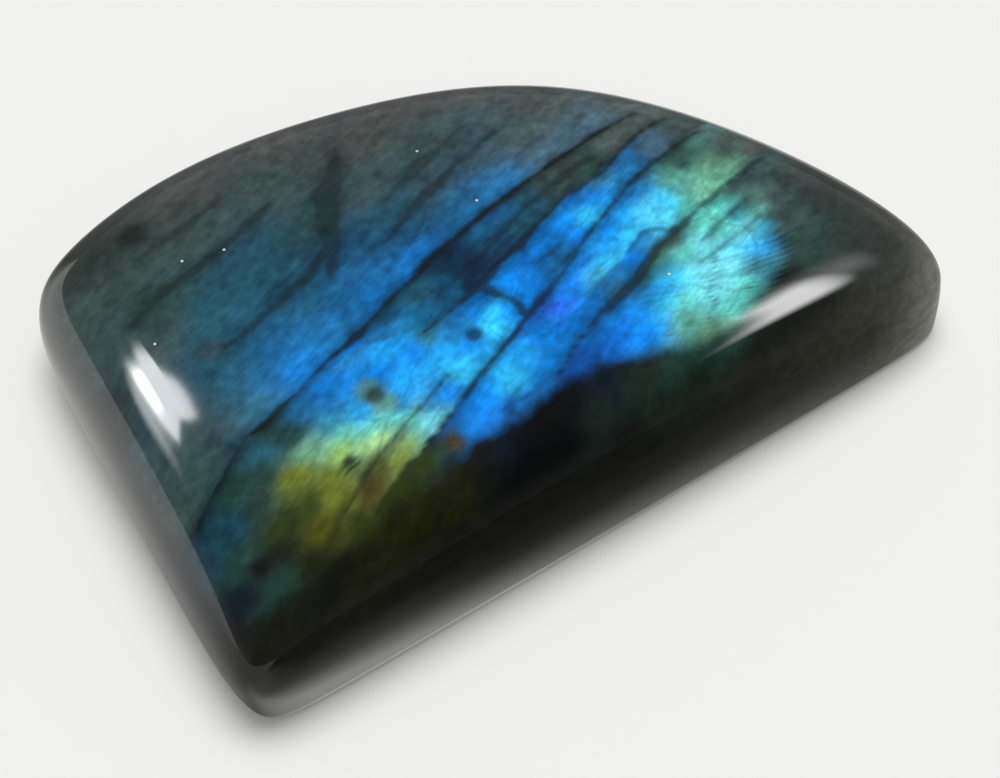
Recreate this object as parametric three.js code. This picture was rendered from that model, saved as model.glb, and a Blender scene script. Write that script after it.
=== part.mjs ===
// A freeform labradorite cabochon: one polished stone with a flat back, two nearly straight sides that
// meet near a right angle, one long round side, and a low crown that rolls over soft shoulders into the walls.
// Units are millimetres, +Z is up. The long straight side faces -Y, and the origin is the middle of the flat back.
import * as THREE from "three";

// The corners where the three sides would meet if they weren't rounded.
const LEFT_CORNER = new THREE.Vector2(3.1, 26);
const NEAR_CORNER = new THREE.Vector2(0, -0.06);
const RIGHT_CORNER = new THREE.Vector2(43.26, 1.55);

// Each side is a circular arc that bulges out of its chord, and the round side also swells and dips a little
// twice over its length. The shoulder is how far in from the wall a side rolls over, and the undercut is how far
// in its foot lies.
const SIDES = [
  { from: LEFT_CORNER, to: NEAR_CORNER, bulge: 0.03, swell: 0, shoulder: 3.3, undercut: 0.7 },
  { from: NEAR_CORNER, to: RIGHT_CORNER, bulge: 0.09, swell: 0, shoulder: 5.7, undercut: 0.32 },
  { from: RIGHT_CORNER, to: LEFT_CORNER, bulge: 13.3, swell: 0.26, shoulder: 5.4, undercut: 0.32 },
];
const SWELLS = 2;
const SWELL_START = 0.0645;

// How far each corner is rounded, as a share of the shoulders beside it, in the order of the sides they face:
// the right corner faces the left side, the left corner faces the front, the near corner faces the round side.
// The right corner is a little sharper at the foot of the wall.
const CORNER_SOFTNESS = [0.28, 0.244, 0.255];
const FOOT_SOFTNESS = [0.2, 0.244, 0.255];
const CORNER_REACH = 0.5;

const HEIGHT = 8.8;
const GIRDLE_HEIGHT = 3.1;
const UNDERCUT_POWER = 1.4;
const BACK_BEVEL_HEIGHT = 0.35;
const BACK_BEVEL_DEPTH = 0.3;
const CROWN_RADIUS = 150;
const SHOULDER_POWER = 2.3;
const MIDDLE = new THREE.Vector2(18.5, 11.5);

const POINTS_ROUND = 216;
const WALL_RINGS = 4;
const SHOULDER_RINGS = 12;
const CROWN_RINGS = 5;
const WIDEST_RAY = 40;
const BISECTIONS = 36;

const STONE_COLOUR = 0x2f4a58;

/** The chord, centre and radius of the circle that a side is an arc of. */
function circleOf({ from, to, bulge }) {
  const chord = to.clone().sub(from);
  const length = chord.length();
  const radius = (length ** 2 / 4 + bulge ** 2) / (2 * bulge);
  const outward = new THREE.Vector2(chord.y, -chord.x).divideScalar(length);
  const centre = from.clone().add(to).multiplyScalar(0.5).addScaledVector(outward, bulge - radius);
  return { chord, centre, radius };
}

const CIRCLES = SIDES.map(circleOf);

/** How far a point of the plan lies outside one side: outside its arc, less the swell at that place along it. */
function outsideSide(point, i) {
  const { chord, centre, radius } = CIRCLES[i];
  const { from, swell } = SIDES[i];
  const share = point.clone().sub(from).dot(chord) / chord.lengthSq();
  return point.distanceTo(centre) - radius - swell * Math.cos(2 * Math.PI * SWELLS * (share + SWELL_START));
}

/**
 * How far a point of the plan lies out of the stone, counted in shoulder widths: 0 on the girdle, -1 where the
 * shoulder ends and the crown begins. It is the largest of the three sides' own figures, blended softly where
 * two sides meet, with the softness of the corner that is nearest. Below the girdle the sides are drawn in, and
 * footShare is how far down the wall the point lies, from 0 on the girdle to 1 at the foot.
 */
function sideLevel(point, footShare) {
  const lean = footShare ** UNDERCUT_POWER;
  const levels = SIDES.map(({ shoulder, undercut }, i) => (outsideSide(point, i) + undercut * lean) / shoulder);
  const lowest = Math.min(...levels);
  const highest = Math.max(...levels);
  const weights = levels.map((level) => Math.exp((lowest - level) / CORNER_REACH));
  const total = weights.reduce((sum, weight) => sum + weight, 0);
  const corners = CORNER_SOFTNESS.map((softness, i) => THREE.MathUtils.lerp(softness, FOOT_SOFTNESS[i], footShare));
  const softness = weights.reduce((sum, weight, i) => sum + (weight * corners[i]) / total, 0);
  const spread = levels.reduce((sum, level) => sum + Math.exp((level - highest) / softness), 0);
  return highest + softness * Math.log(spread);
}

/** The closed ring of plan points that lie at one level, found along rays from the middle of the stone. */
function ringAt(level, footShare = 0) {
  return Array.from({ length: POINTS_ROUND }, (_, i) => {
    const angle = (2 * Math.PI * i) / POINTS_ROUND;
    const ray = new THREE.Vector2(Math.cos(angle), Math.sin(angle));
    let inside = 0;
    let outside = WIDEST_RAY;
    for (let step = 0; step < BISECTIONS; step++) {
      const reach = (inside + outside) / 2;
      if (sideLevel(MIDDLE.clone().addScaledVector(ray, reach), footShare) < level) inside = reach;
      else outside = reach;
    }
    return MIDDLE.clone().addScaledVector(ray, inside);
  });
}

/** The height of the crown over a plan point: a cap of a large sphere. */
function crownHeight(point) {
  return HEIGHT - point.distanceToSquared(MIDDLE) / (2 * CROWN_RADIUS);
}

/** The wall: a small bevel round the flat back, then a wall that leans out as it rises to the girdle. */
function wallRings() {
  const bevel = BACK_BEVEL_DEPTH / SIDES[1].shoulder;
  const sole = ringAt(-bevel, 1).map((p) => new THREE.Vector3(p.x, p.y, 0));
  const rings = Array.from({ length: WALL_RINGS }, (_, i) => {
    const rise = i / WALL_RINGS;
    const height = THREE.MathUtils.lerp(BACK_BEVEL_HEIGHT, GIRDLE_HEIGHT, rise);
    return ringAt(0, 1 - rise).map((p) => new THREE.Vector3(p.x, p.y, height));
  });
  return [sole, ...rings];
}

/** The shoulder: a superellipse quarter from the upright girdle to the level crown. */
function shoulderRings() {
  return Array.from({ length: SHOULDER_RINGS + 1 }, (_, i) => {
    const turn = (Math.PI / 2) * (i / SHOULDER_RINGS);
    const width = Math.cos(turn) ** (2 / SHOULDER_POWER);
    const rise = Math.sin(turn) ** (2 / SHOULDER_POWER);
    return ringAt(width - 1).map((p) => {
      const height = THREE.MathUtils.lerp(GIRDLE_HEIGHT, crownHeight(p), rise);
      return new THREE.Vector3(p.x, p.y, height);
    });
  });
}

/** The crown: the shoulder's last ring drawn in towards the middle, over the cap. */
function crownRings(rim) {
  return Array.from({ length: CROWN_RINGS - 1 }, (_, i) => {
    const share = 1 - (i + 1) / CROWN_RINGS;
    return rim.map((p) => {
      const plan = new THREE.Vector2(p.x, p.y).lerp(MIDDLE, 1 - share);
      return new THREE.Vector3(plan.x, plan.y, crownHeight(plan));
    });
  });
}

/** One closed surface through the rings, from a fan over the back's middle to a fan over the crown's middle. */
function loft(rings) {
  const backMiddle = new THREE.Vector3(MIDDLE.x, MIDDLE.y, 0);
  const crownMiddle = new THREE.Vector3(MIDDLE.x, MIDDLE.y, HEIGHT);
  const vertices = [backMiddle, ...rings.flat(), crownMiddle];
  const at = (ring, i) => 1 + ring * POINTS_ROUND + (i % POINTS_ROUND);
  const last = rings.length - 1;
  const faces = [];
  for (let i = 0; i < POINTS_ROUND; i++) {
    faces.push(0, at(0, i + 1), at(0, i));
    for (let ring = 0; ring < last; ring++) {
      faces.push(at(ring, i), at(ring, i + 1), at(ring + 1, i + 1));
      faces.push(at(ring, i), at(ring + 1, i + 1), at(ring + 1, i));
    }
    faces.push(vertices.length - 1, at(last, i), at(last, i + 1));
  }
  return new THREE.BufferGeometry().setFromPoints(vertices).setIndex(faces);
}

function makeCabochon() {
  const shoulder = shoulderRings();
  const geometry = loft([...wallRings(), ...shoulder, ...crownRings(shoulder.at(-1))]);
  geometry.computeBoundingBox();
  const centre = geometry.boundingBox.getCenter(new THREE.Vector3());
  geometry.translate(-centre.x, -centre.y, 0);
  geometry.computeVertexNormals();
  const polishedStone = new THREE.MeshStandardMaterial({ color: STONE_COLOUR, roughness: 0.08, metalness: 0 });
  const cabochon = new THREE.Mesh(geometry, polishedStone);
  cabochon.name = "cabochon";
  return cabochon;
}

const part = new THREE.Group();
part.add(makeCabochon());

export default part;
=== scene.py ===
import bpy
import numpy as np
from mathutils import Matrix


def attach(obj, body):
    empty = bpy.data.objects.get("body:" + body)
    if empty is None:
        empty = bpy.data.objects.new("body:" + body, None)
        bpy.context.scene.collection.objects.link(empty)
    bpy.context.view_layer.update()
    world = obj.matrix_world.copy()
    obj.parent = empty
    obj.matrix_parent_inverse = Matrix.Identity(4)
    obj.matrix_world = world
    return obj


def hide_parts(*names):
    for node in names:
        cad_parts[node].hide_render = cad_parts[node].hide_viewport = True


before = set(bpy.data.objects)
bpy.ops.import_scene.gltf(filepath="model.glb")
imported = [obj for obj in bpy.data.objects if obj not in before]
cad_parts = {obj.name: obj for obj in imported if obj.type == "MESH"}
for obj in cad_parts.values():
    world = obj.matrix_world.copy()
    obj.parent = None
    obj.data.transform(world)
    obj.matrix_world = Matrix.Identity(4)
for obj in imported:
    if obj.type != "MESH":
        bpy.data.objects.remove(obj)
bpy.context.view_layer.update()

scene = bpy.context.scene
MM = 0.001

# Camera
# It looks down on the stone over the corner where the two straight sides meet, from a hand's length
# away.
VIEW_TURN = np.radians(33.95)
VIEW_ELEVATION = np.radians(50)
VIEW_DISTANCE = 155.25
VIEW_AIM = np.array([-0.024, -3.115, 0.0])
LENS = 111.8
SENSOR = 36.0


def direction(turn, elevation):
    """The unit vector that points elevation degrees above the floor and turn degrees to the right of
    straight away from the camera, in the stone's own frame."""
    turn = VIEW_TURN + np.radians(turn)
    elevation = np.radians(elevation)
    flat = np.cos(elevation)
    return np.array([flat * np.sin(turn), flat * np.cos(turn), np.sin(elevation)])


def place(thing, position, backward, rightward):
    """Puts a thing that looks along its own -Z at a position in millimetres, with +Z along backward and
    +X as near to rightward as that allows."""
    z = backward / np.linalg.norm(backward)
    x = rightward - (rightward @ z) * z
    x /= np.linalg.norm(x)
    axes = np.eye(4)
    axes[:3, :3] = np.stack([x, np.cross(z, x), z], axis=1)
    axes[:3, 3] = np.asarray(position) * MM
    thing.matrix_world = Matrix(axes.tolist())


lens = bpy.data.cameras.new("camera")
lens.lens = LENS
lens.sensor_width = SENSOR
lens.clip_start = 0.01
camera = bpy.data.objects.new("camera", lens)
scene.collection.objects.link(camera)
towards_camera = direction(180, np.degrees(VIEW_ELEVATION))
place(camera, VIEW_AIM + VIEW_DISTANCE * towards_camera, towards_camera, direction(90, 0))
scene.camera = camera
scene.view_settings.view_transform = "Standard"

# Floor
# A pale matt board with a soft glow of its own, a hair below the stone so that the two flat faces don't
# flicker. The polish alone mirrors it as a pool of light round the stone, with a dim stretch in front of
# the long straight side that is darkest to the right, and light along the foot of that side, strongest
# at the left.
FLOOR_SIZE = 3000
FLOOR_GAP = 0.01
FLOOR_COLOUR = "#e0e0de"
FLOOR_GLOW = 0.2
POOL_HALF_SIZE = (21.0, 15.0)
POOL_FADE = (0.9, 1.8)
POOL_LEFT_END = (-24.0, -15.0)
POOL_EDGE = 0.1
POOL_DEPTH = (-12.0, 11.0)
POOL_LIGHT = (0.55, 1.15)
LONG_SIDE_TILT = np.radians(2.1)
LONG_SIDE_OUT = 13.55
FRONT_START = (-1.2, 0.6)
FRONT_LEFT_END = (-27.0, -22.0)
DIM_LEFT_END = (-17.0, -4.0)
DIM_LIGHT = (1.2, 0.22)
DIM_DEPTH = (3.0, 30.0)
DIM_FAR = 0.06
FOOT_LEFT_END = (-23.0, -17.0)
FOOT_LIGHT = (0.2, 0.9)
FOOT_LIGHT_MOST = 1.6
FOOT_FADE_OUT = 0.26
FOOT_FADE_RIGHT = 0.92


def linear(code):
    """The linear colour of an sRGB hex code, with alpha 1."""
    share = np.array([int(code[i:i + 2], 16) for i in (1, 3, 5)]) / 255
    curved = ((share + 0.055) / 1.055) ** 2.4
    return (*np.where(share <= 0.04045, share / 12.92, curved).tolist(), 1.0)


def add_node(tree, kind, inputs=(), **settings):
    """Adds a shader node with its settings. inputs lists what goes into its first sockets, or maps
    socket names or numbers to it: a value, an output socket, or a node whose first output is meant."""
    node = tree.nodes.new("ShaderNode" + kind)
    for name, value in settings.items():
        setattr(node, name, value)
    for socket, value in inputs.items() if isinstance(inputs, dict) else enumerate(inputs):
        if isinstance(value, bpy.types.Node):
            value = value.outputs[0]
        if isinstance(value, bpy.types.NodeSocket):
            tree.links.new(value, node.inputs[socket])
        else:
            node.inputs[socket].default_value = value
    return node


# A ramp is a MapRange node: a value, where the ramp starts and ends, and what it gives at either end.
SMOOTH = {"interpolation_type": "SMOOTHSTEP"}


def new_material(name):
    """An empty node material and its tree."""
    material = bpy.data.materials.new(name)
    material.use_nodes = True
    material.node_tree.nodes.clear()
    return material, material.node_tree


half = FLOOR_SIZE * MM / 2
floor_mesh = bpy.data.meshes.new("floor")
corners = [(-half, -half), (half, -half), (half, half), (-half, half)]
floor_mesh.from_pydata([(x, y, -FLOOR_GAP * MM) for x, y in corners], [], [(0, 1, 2, 3)])
floor = bpy.data.objects.new("floor", floor_mesh)
scene.collection.objects.link(floor)
matt_board, tree = new_material("matt_white_board")
on_floor = add_node(tree, "TexCoord").outputs["Object"]
spot = add_node(tree, "SeparateXYZ", [on_floor]).outputs

# How far a spot lies in front of the foot of the long side, and right of and behind the middle, all in
# mm.
outward = (float(np.sin(LONG_SIDE_TILT)), float(-np.cos(LONG_SIDE_TILT)), 0.0)
out = add_node(tree, "VectorMath", [on_floor, outward], operation="DOT_PRODUCT").outputs["Value"]
out = add_node(tree, "Math", [out, MM], operation="DIVIDE")
out = add_node(tree, "Math", [out, LONG_SIDE_OUT], operation="SUBTRACT")
right = add_node(tree, "Math", [spot["X"], MM], operation="DIVIDE")
back = add_node(tree, "Math", [spot["Y"], MM], operation="DIVIDE")
beyond = add_node(tree, "MapRange", [out, *FRONT_START, 0, 1], **SMOOTH)
beside = add_node(tree, "MapRange", [right, *FRONT_LEFT_END, 0, 1], **SMOOTH)
in_front = add_node(tree, "Math", [beyond, beside], operation="MULTIPLY")

# The pool is an oval that fades outwards, except on the left. It is palest behind the stone, and dim in
# front.
oval = add_node(tree, "CombineXYZ", [right, back])
oval = add_node(tree, "Mapping", {"Vector": oval, "Scale": (*POOL_HALF_SIZE, 1)}, vector_type="TEXTURE")
oval = add_node(tree, "VectorMath", [oval], operation="LENGTH").outputs["Value"]
edge = add_node(tree, "MapRange", [right, *POOL_LEFT_END, 1, POOL_EDGE], **SMOOTH)
pool = add_node(tree, "MapRange", [oval, *POOL_FADE, 1, edge], **SMOOTH)
pale = add_node(tree, "MapRange", [back, *POOL_DEPTH, *POOL_LIGHT], **SMOOTH)
pool = add_node(tree, "Math", [pool, pale], operation="MULTIPLY")
near = add_node(tree, "MapRange", [right, *DIM_LEFT_END, *DIM_LIGHT], **SMOOTH)
dim = add_node(tree, "MapRange", [out, *DIM_DEPTH, near, DIM_FAR], **SMOOTH)
dim = add_node(tree, "Mix", {0: in_front, 2: 1, 3: dim})
pool = add_node(tree, "Math", [pool, dim], operation="MULTIPLY")

# The light at the foot falls to FOOT_FADE_OUT of itself with each mm out, and to FOOT_FADE_RIGHT with
# each mm to the right. It is capped, and weak to the left of the near corner.
fade_out = add_node(tree, "Math", [FOOT_FADE_OUT, out], operation="POWER")
fade_right = add_node(tree, "Math", [FOOT_FADE_RIGHT, right], operation="POWER")
foot_light = add_node(tree, "Math", [fade_out, fade_right], operation="MULTIPLY")
foot_light = add_node(tree, "Math", [foot_light, FOOT_LIGHT_MOST], operation="MINIMUM")
foot_light = add_node(tree, "Math", [foot_light, in_front], operation="MULTIPLY")
strength = add_node(tree, "MapRange", [right, *FOOT_LEFT_END, *FOOT_LIGHT], **SMOOTH)
foot_light = add_node(tree, "Math", [foot_light, strength], operation="MULTIPLY")

in_polish = add_node(tree, "LightPath").outputs["Is Glossy Ray"]
share = add_node(tree, "Mix", {0: in_polish, 2: 1, 3: pool})
glow = add_node(tree, "Math", [pool, FLOOR_GLOW, foot_light], operation="MULTIPLY_ADD")
glow = add_node(tree, "Mix", {0: in_polish, 2: FLOOR_GLOW, 3: glow})
tone = add_node(tree, "VectorMath", {0: linear(FLOOR_COLOUR)[:3], "Scale": share}, operation="SCALE")
board = add_node(tree, "BsdfPrincipled", {"Base Color": tone, "Roughness": 0.85, "Specular IOR Level": 0.2,
                                          "Emission Color": linear(FLOOR_COLOUR), "Emission Strength": glow})
add_node(tree, "OutputMaterial", {"Surface": board})
floor_mesh.materials.append(matt_board)

# Light
# A pale tent lights the stone evenly from all round, and a large soft lamp overhead, leaning back, gives
# the soft dark edge under the stone. The polish mirrors the tent as dark cloth with two windows.
# Directions are turns to the right of straight away from the camera, and elevations, both in degrees.
TENT = 0.25
LAMP = 7.0
LAMP_TURN = 0.0
LAMP_ELEVATION = 84.0
LAMP_EDGES = (24.0, 12.0)
CLOTH_HEIGHT = (0.0, 25.0)
CLOTH_LIGHT = (0.25, 0.10)
CLOTH_FRONT = (-0.8, -0.3)
CLOTH_FRONT_LIGHT = 0.35

LEFT_WINDOW_END = -21.0
LEFT_WINDOW_MIDDLE = 50.2
LEFT_WINDOW_SINK = 0.000413
LEFT_WINDOW_SINK_POWER = 2.75
LEFT_WINDOW_HALF_HEIGHT = 2.7
LEFT_WINDOW_SPREAD = 0.0018
LEFT_WINDOW_LIGHT = 12.0
UPPER_EDGE_FALL = (32.0, 48.0)
UPPER_EDGE = (0.98, 0.1)
UPPER_EDGE_END = 1.1
LOWER_EDGE_RISE = (12.0, 30.0)
LOWER_EDGE_LIFT = 0.4
LOWER_EDGE = (-1.15, -0.55)
BLUNT_EDGE = (LEFT_WINDOW_END - 0.15, LEFT_WINDOW_END + 0.15)
SLANT_TOP = 51.5
SLANT_DEPTH = 4.0
SLANT = 0.22
DIM_END = (-70.0, -56.0)
DIM_END_LIGHT = 0.5
DARK_END = (-78.0, -70.0)
LEFT_CORE = -54.0
LEFT_CORE_LIGHT = 20.0
CORE_FADE = (4.0, 12.0)
CORE_EDGE = (0.1, 0.65)

RIGHT_WINDOW_TURN = 84.0
RIGHT_WINDOW_ELEVATION = 47.0
RIGHT_WINDOW_LEAN = 1.5
RIGHT_WINDOW_LIGHT = 12.5
RIGHT_WINDOW_LEFT_EDGE = (-14.0, -2.0)
RIGHT_WINDOW_RIGHT_EDGE = (2.0, 8.0)
RIGHT_WINDOW_TOP_EDGE = (47.5, 53.0)
RIGHT_WINDOW_LOW_EDGE = (36.0, 42.0)
GLOW_MIDDLE = (70.0, 45.0)
GLOW_SIZE = (20.0, 11.0)
GLOW = 1.6

world = bpy.data.worlds.new("white_tent")
world.use_nodes = True
tree = world.node_tree
tree.nodes.clear()
heading = add_node(tree, "TexCoord").outputs["Generated"]
way = add_node(tree, "SeparateXYZ", [heading]).outputs
turn = add_node(tree, "Math", [way["X"], way["Y"]], operation="ARCTAN2")
turn = add_node(tree, "Math", [turn], operation="DEGREES")
turn = add_node(tree, "Math", [turn, float(np.degrees(VIEW_TURN))], operation="SUBTRACT")
elevation = add_node(tree, "Math", [way["Z"]], operation="ARCSINE")
elevation = add_node(tree, "Math", [elevation], operation="DEGREES")

# The left window is a band that starts at a blunt end. Its middle line sinks by a power of the way past
# that end, and it grows taller with the square of that way. reach is 1 at its upper edge and -1 at its
# lower edge.
past_end = add_node(tree, "Math", [LEFT_WINDOW_END, turn], operation="SUBTRACT")
past_end = add_node(tree, "Math", [past_end, 0], operation="MAXIMUM")
sink = add_node(tree, "Math", [past_end, LEFT_WINDOW_SINK_POWER], operation="POWER")
rise = add_node(tree, "Math", [sink, LEFT_WINDOW_SINK, elevation], operation="MULTIPLY_ADD")
rise = add_node(tree, "Math", [rise, LEFT_WINDOW_MIDDLE], operation="SUBTRACT")
taller = add_node(tree, "Math", [past_end, 2], operation="POWER")
half_height = add_node(tree, "Math", [taller, LEFT_WINDOW_SPREAD, LEFT_WINDOW_HALF_HEIGHT],
                       operation="MULTIPLY_ADD")
reach = add_node(tree, "Math", [rise, half_height], operation="DIVIDE")

# Further along, both edges come in towards the middle line. Below SLANT_TOP the blunt end slants by a
# square.
lift = add_node(tree, "MapRange", [past_end, *LOWER_EDGE_RISE, 0, LOWER_EDGE_LIFT], **SMOOTH)
lifted = add_node(tree, "Math", [reach, lift], operation="SUBTRACT")
upper_edge = add_node(tree, "MapRange", [past_end, *UPPER_EDGE_FALL, *UPPER_EDGE], **SMOOTH)
below = add_node(tree, "Math", [SLANT_TOP, elevation], operation="SUBTRACT")
below = add_node(tree, "Math", [below, 0], operation="MAXIMUM")
below = add_node(tree, "Math", [below, SLANT_DEPTH], operation="MINIMUM")
below = add_node(tree, "Math", [below, 2], operation="POWER")
slanted = add_node(tree, "Math", [below, SLANT, turn], operation="MULTIPLY_ADD")

# A narrow stretch of it is brighter. The edges are the upper, the lower, the blunt end, and the dim and
# then dark far end.
from_core = add_node(tree, "Math", [turn, LEFT_CORE], operation="SUBTRACT")
from_core = add_node(tree, "Math", [from_core], operation="ABSOLUTE")
from_middle = add_node(tree, "Math", [reach], operation="ABSOLUTE")
core = add_node(tree, "MapRange", [from_core, *CORE_FADE, LEFT_CORE_LIGHT, 0], **SMOOTH)
share = add_node(tree, "MapRange", [from_middle, *CORE_EDGE, 1, 0], **SMOOTH)
left = add_node(tree, "Math", [core, share, LEFT_WINDOW_LIGHT], operation="MULTIPLY_ADD")
edges = [(reach, upper_edge, UPPER_EDGE_END, 1, 0), (lifted, *LOWER_EDGE, 0, 1), (slanted, *BLUNT_EDGE, 1, 0),
         (turn, *DIM_END, DIM_END_LIGHT, 1), (turn, *DARK_END, 0, 1)]
for edge in edges:
    share = add_node(tree, "MapRange", edge, **SMOOTH)
    left = add_node(tree, "Math", [left, share], operation="MULTIPLY")

# The right window is a pane with soft edges that leans to the right as it comes down. Its glow is an
# oval.
lean = add_node(tree, "Math", [RIGHT_WINDOW_ELEVATION, elevation], operation="SUBTRACT")
lean = add_node(tree, "Math", [lean, RIGHT_WINDOW_LEAN, RIGHT_WINDOW_TURN], operation="MULTIPLY_ADD")
aside = add_node(tree, "Math", [turn, lean], operation="SUBTRACT")
right = RIGHT_WINDOW_LIGHT
edges = [(aside, *RIGHT_WINDOW_LEFT_EDGE, 0, 1), (aside, *RIGHT_WINDOW_RIGHT_EDGE, 1, 0),
         (elevation, *RIGHT_WINDOW_TOP_EDGE, 1, 0), (elevation, *RIGHT_WINDOW_LOW_EDGE, 0, 1)]
for edge in edges:
    share = add_node(tree, "MapRange", edge, **SMOOTH)
    right = add_node(tree, "Math", [right, share], operation="MULTIPLY")
oval = add_node(tree, "CombineXYZ", [turn, elevation])
oval = add_node(tree, "Mapping", {"Vector": oval, "Location": (*GLOW_MIDDLE, 0), "Scale": (*GLOW_SIZE, 1)},
                vector_type="TEXTURE")
oval = add_node(tree, "VectorMath", [oval], operation="LENGTH").outputs["Value"]
glow = add_node(tree, "MapRange", [oval, 0, 1, GLOW, 0], **SMOOTH)

# The cloth is palest near the floor, and darker on the side that faces the long straight side.
cloth = add_node(tree, "MapRange", [elevation, *CLOTH_HEIGHT, *CLOTH_LIGHT], **SMOOTH)
front = add_node(tree, "MapRange", [way["Y"], *CLOTH_FRONT, CLOTH_FRONT_LIGHT, 1], **SMOOTH)
mirrored = add_node(tree, "Math", [cloth, front, left], operation="MULTIPLY_ADD")
mirrored = add_node(tree, "Math", [mirrored, right], operation="ADD")
mirrored = add_node(tree, "Math", [mirrored, glow], operation="ADD")
to_lamp = direction(LAMP_TURN, LAMP_ELEVATION).tolist()
towards = add_node(tree, "VectorMath", [heading, to_lamp], operation="DOT_PRODUCT").outputs["Value"]
lamp_edges = np.cos(np.radians(LAMP_EDGES)).tolist()
lighting = add_node(tree, "MapRange", [towards, *lamp_edges, TENT, TENT + LAMP], **SMOOTH)

in_polish = add_node(tree, "LightPath").outputs["Is Glossy Ray"]
lightness = add_node(tree, "Mix", {0: in_polish, 2: lighting, 3: mirrored})
tent = add_node(tree, "Background", {"Color": (1, 1, 1, 1), "Strength": lightness})
add_node(tree, "OutputWorld", {"Surface": tent})
scene.world = world

# The stone
# One piece of labradorite, a grey-green feldspar, sawn flat underneath, and ground and polished
# everywhere else into a low crown. Its shape is worked out in millimetres from the near corner, and then
# moved to its own frame.
CORNERS = np.array([[3.1, 26.0], [0.0, -0.06], [43.26, 1.55]])
BULGES = np.array([0.03, 0.09, 13.3])
SWELL = np.array([0.0, 0.0, 0.26])
SWELLS = 2
SWELL_START = 0.0645
SHOULDERS = np.array([3.3, 5.7, 5.4])
CORNER_SOFTNESS = np.array([0.28, 0.244, 0.255])
FOOT_SOFTNESS = np.array([0.2, 0.244, 0.255])
CORNER_REACH = 0.5
MIDDLE = np.array([18.5, 11.5])
HEIGHT = 8.8
GIRDLE_HEIGHT = 3.1
UNDERCUTS = np.array([0.7, 0.32, 0.32])
UNDERCUT_POWER = 1.4
BACK_BEVEL_HEIGHT = 0.35
BACK_BEVEL_DEPTH = 0.3
CROWN_RADIUS = 150.0
SHOULDER_POWER = 2.3

HALF_GRID = 140
CROWN_SHARE = 0.72
WALL_RINGS = 10
BACK_INSET = 0.4
WIDEST_RAY = 40.0
BISECTIONS = 40
HAIR = 0.01


def outside_sides(p):
    """How far plan points lie outside each of the three sides. Each side is an arc through two corners
    that bulges by a given height, so this is the distance to the arc's centre less its radius. The round
    side also swells and dips along its length as a cosine."""
    start, end = CORNERS, np.roll(CORNERS, -1, axis=0)
    run = end - start
    chord = np.linalg.norm(run, axis=1)
    outward = np.stack([run[:, 1], -run[:, 0]], axis=1) / chord[:, None]
    radius = (chord ** 2 / 4 + BULGES ** 2) / (2 * BULGES)
    centre = (start + end) / 2 + outward * (BULGES - radius)[:, None]
    share = ((p[..., None, :] - start) * run).sum(-1) / chord ** 2
    swell = SWELL * np.cos(2 * np.pi * SWELLS * (share + SWELL_START))
    return np.linalg.norm(p[..., None, :] - centre, axis=-1) - radius - swell


def side_level(p, foot_share=0.0):
    """0 on the girdle and -1 where the shoulder ends: the largest of the three distances outside a side,
    each divided by that side's shoulder width, blended softly where two sides meet. Towards the foot of
    the wall, where foot_share is 1, the sides are drawn in and the right corner gets sharper."""
    level = (outside_sides(p) + UNDERCUTS * foot_share ** UNDERCUT_POWER + HAIR) / SHOULDERS
    share = np.exp((level.min(-1, keepdims=True) - level) / CORNER_REACH)
    corners = CORNER_SOFTNESS + foot_share * (FOOT_SOFTNESS - CORNER_SOFTNESS)
    softness = (share * corners).sum(-1) / share.sum(-1)
    highest = level.max(-1)
    return highest + softness * np.log(np.exp((level - highest[..., None]) / softness[..., None]).sum(-1))


def ring_radius(angle, level, foot_share=0.0):
    """How far from the middle a ray at each angle meets a level, by halving the stretch that holds
    it."""
    ray = np.stack([np.cos(angle), np.sin(angle)], axis=-1)
    inside = np.zeros_like(angle)
    outside = np.full_like(angle, WIDEST_RAY)
    for _ in range(BISECTIONS):
        reach = (inside + outside) / 2
        within = side_level(MIDDLE + ray * reach[..., None], foot_share) < level
        inside = np.where(within, reach, inside)
        outside = np.where(within, outside, reach)
    return inside


def crown_height(p):
    """The height of the crown over plan points: a cap of a large sphere over the middle."""
    return HEIGHT - ((p - MIDDLE) ** 2).sum(-1) / (2 * CROWN_RADIUS)


def upper_surface():
    """The crown and shoulders as a square grid of points. The grid's squares round its middle become
    rings round the stone: inner ones fill the crown evenly, and outer ones roll down a superellipse to
    the girdle."""
    steps = np.arange(-HALF_GRID, HALF_GRID + 1) / HALF_GRID
    b, a = np.meshgrid(steps, steps, indexing="ij")
    ring = np.maximum(abs(a), abs(b))
    safe = np.where(ring == 0, 1, ring)
    beside = abs(a) >= abs(b)
    along = np.where(beside, b * np.sign(a), -a * np.sign(b)) / safe
    quarter = np.where(beside, np.where(a >= 0, 0, 2), np.where(b >= 0, 1, 3))
    angle = (quarter + along / 2) * np.pi / 2
    turn = np.clip((1 - ring) / (1 - CROWN_SHARE), 0, 1) * np.pi / 2
    width = np.cos(turn) ** (2 / SHOULDER_POWER)
    rise = np.sin(turn) ** (2 / SHOULDER_POWER)
    reach = ring_radius(angle, width - 1) * np.minimum(ring / CROWN_SHARE, 1)
    plan = MIDDLE + np.stack([np.cos(angle), np.sin(angle)], axis=-1) * reach[..., None]
    z = GIRDLE_HEIGHT + (crown_height(plan) - GIRDLE_HEIGHT) * rise
    return np.concatenate([plan, z[..., None]], axis=-1), angle


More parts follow.
